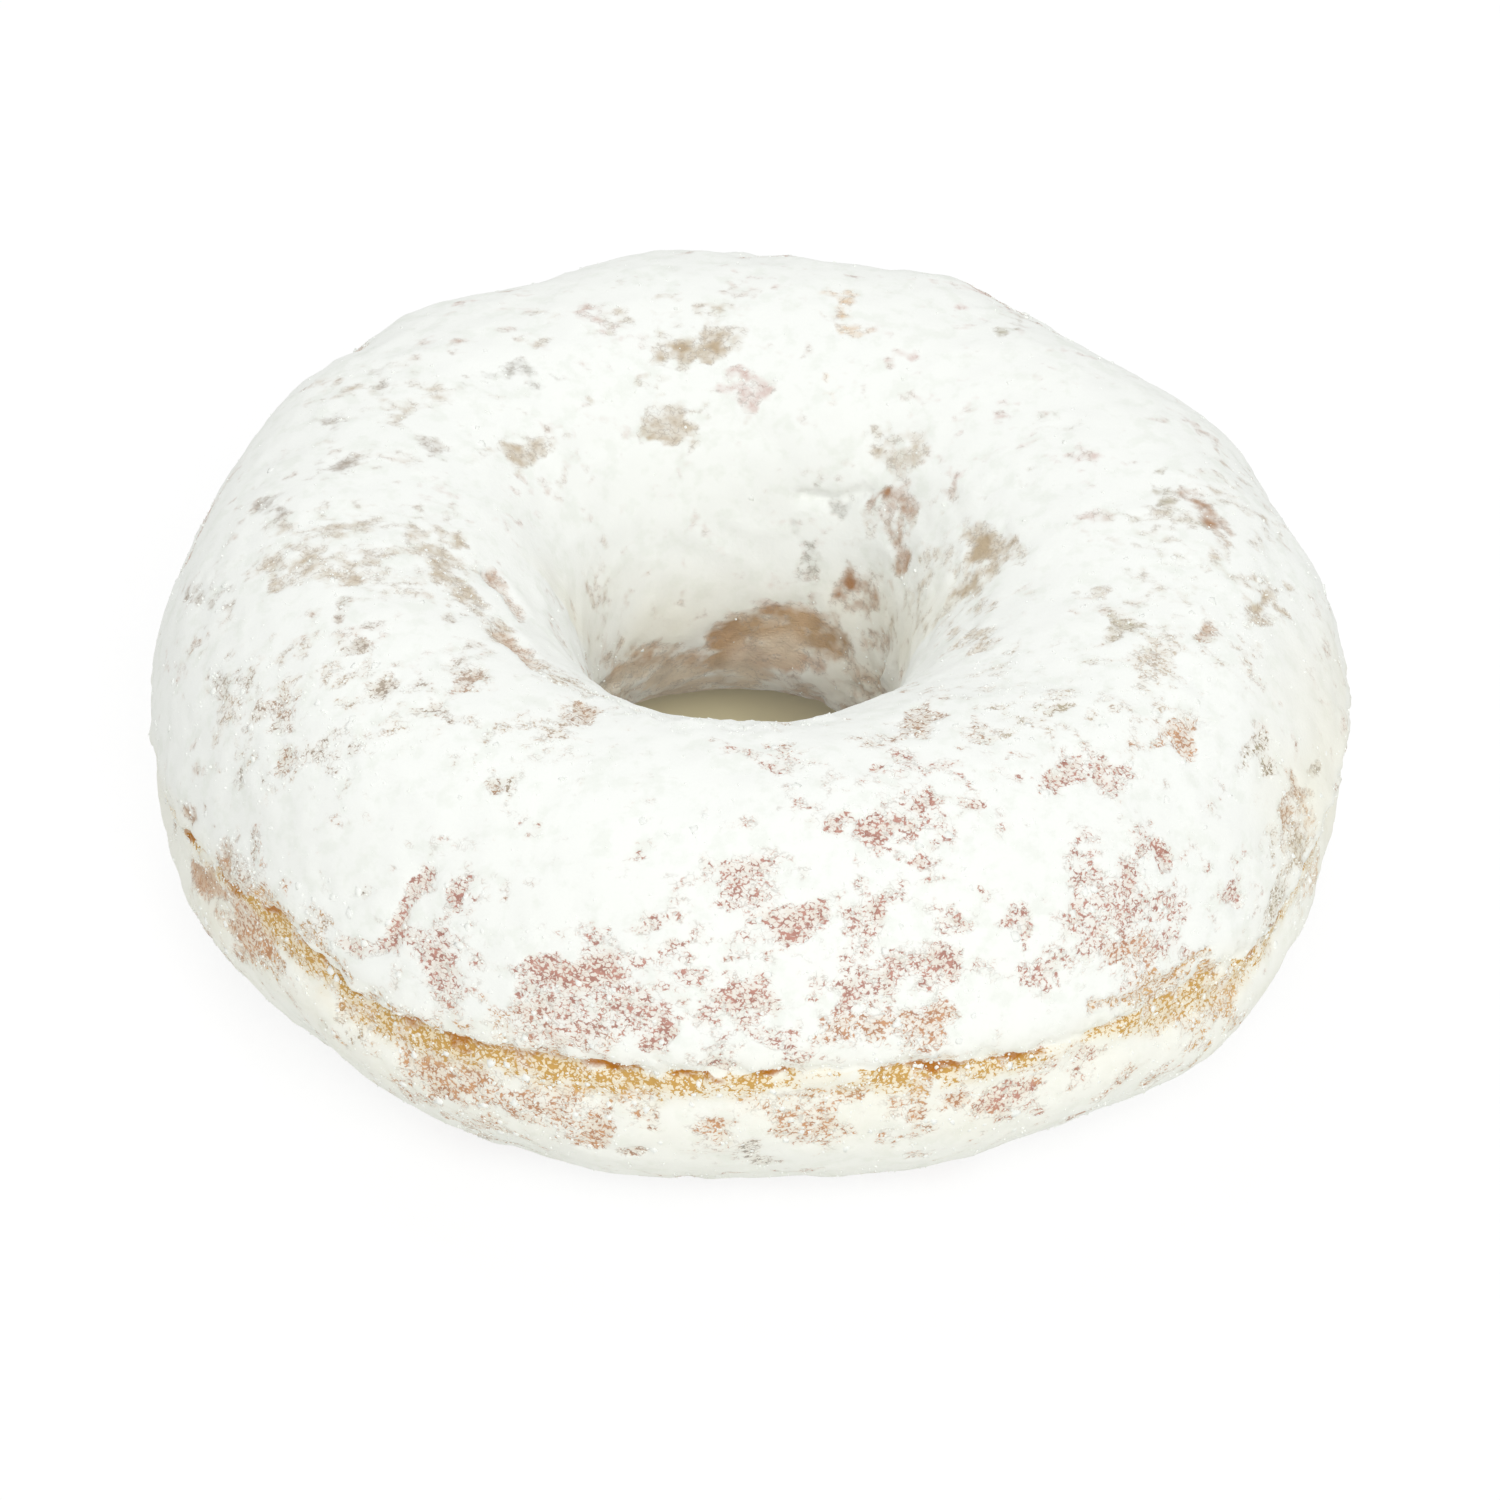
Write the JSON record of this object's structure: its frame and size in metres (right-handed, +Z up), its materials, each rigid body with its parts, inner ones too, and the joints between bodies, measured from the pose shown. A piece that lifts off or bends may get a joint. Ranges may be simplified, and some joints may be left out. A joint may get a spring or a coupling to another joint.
{
  "type": "powdered sugar doughnut",
  "caption": "Yeast-raised ring doughnut with a pale proof line round its side and an open hole, coated with powdered sugar.",
  "frame": {"origin": "on the ring's axis, at the middle of the box, level with the surface the doughnut lies on", "axes": "+Z up through the hole; -Y is the side that faces the picture's viewer, +X is at the viewer's right"},
  "size_m": [0.0882, 0.0876, 0.0333],
  "materials": {
    "sugared_crust": "powdery"
  },
  "bodies": {
    "root": {"doughnut": "sugared_crust"}
  },
  "joints": []
}
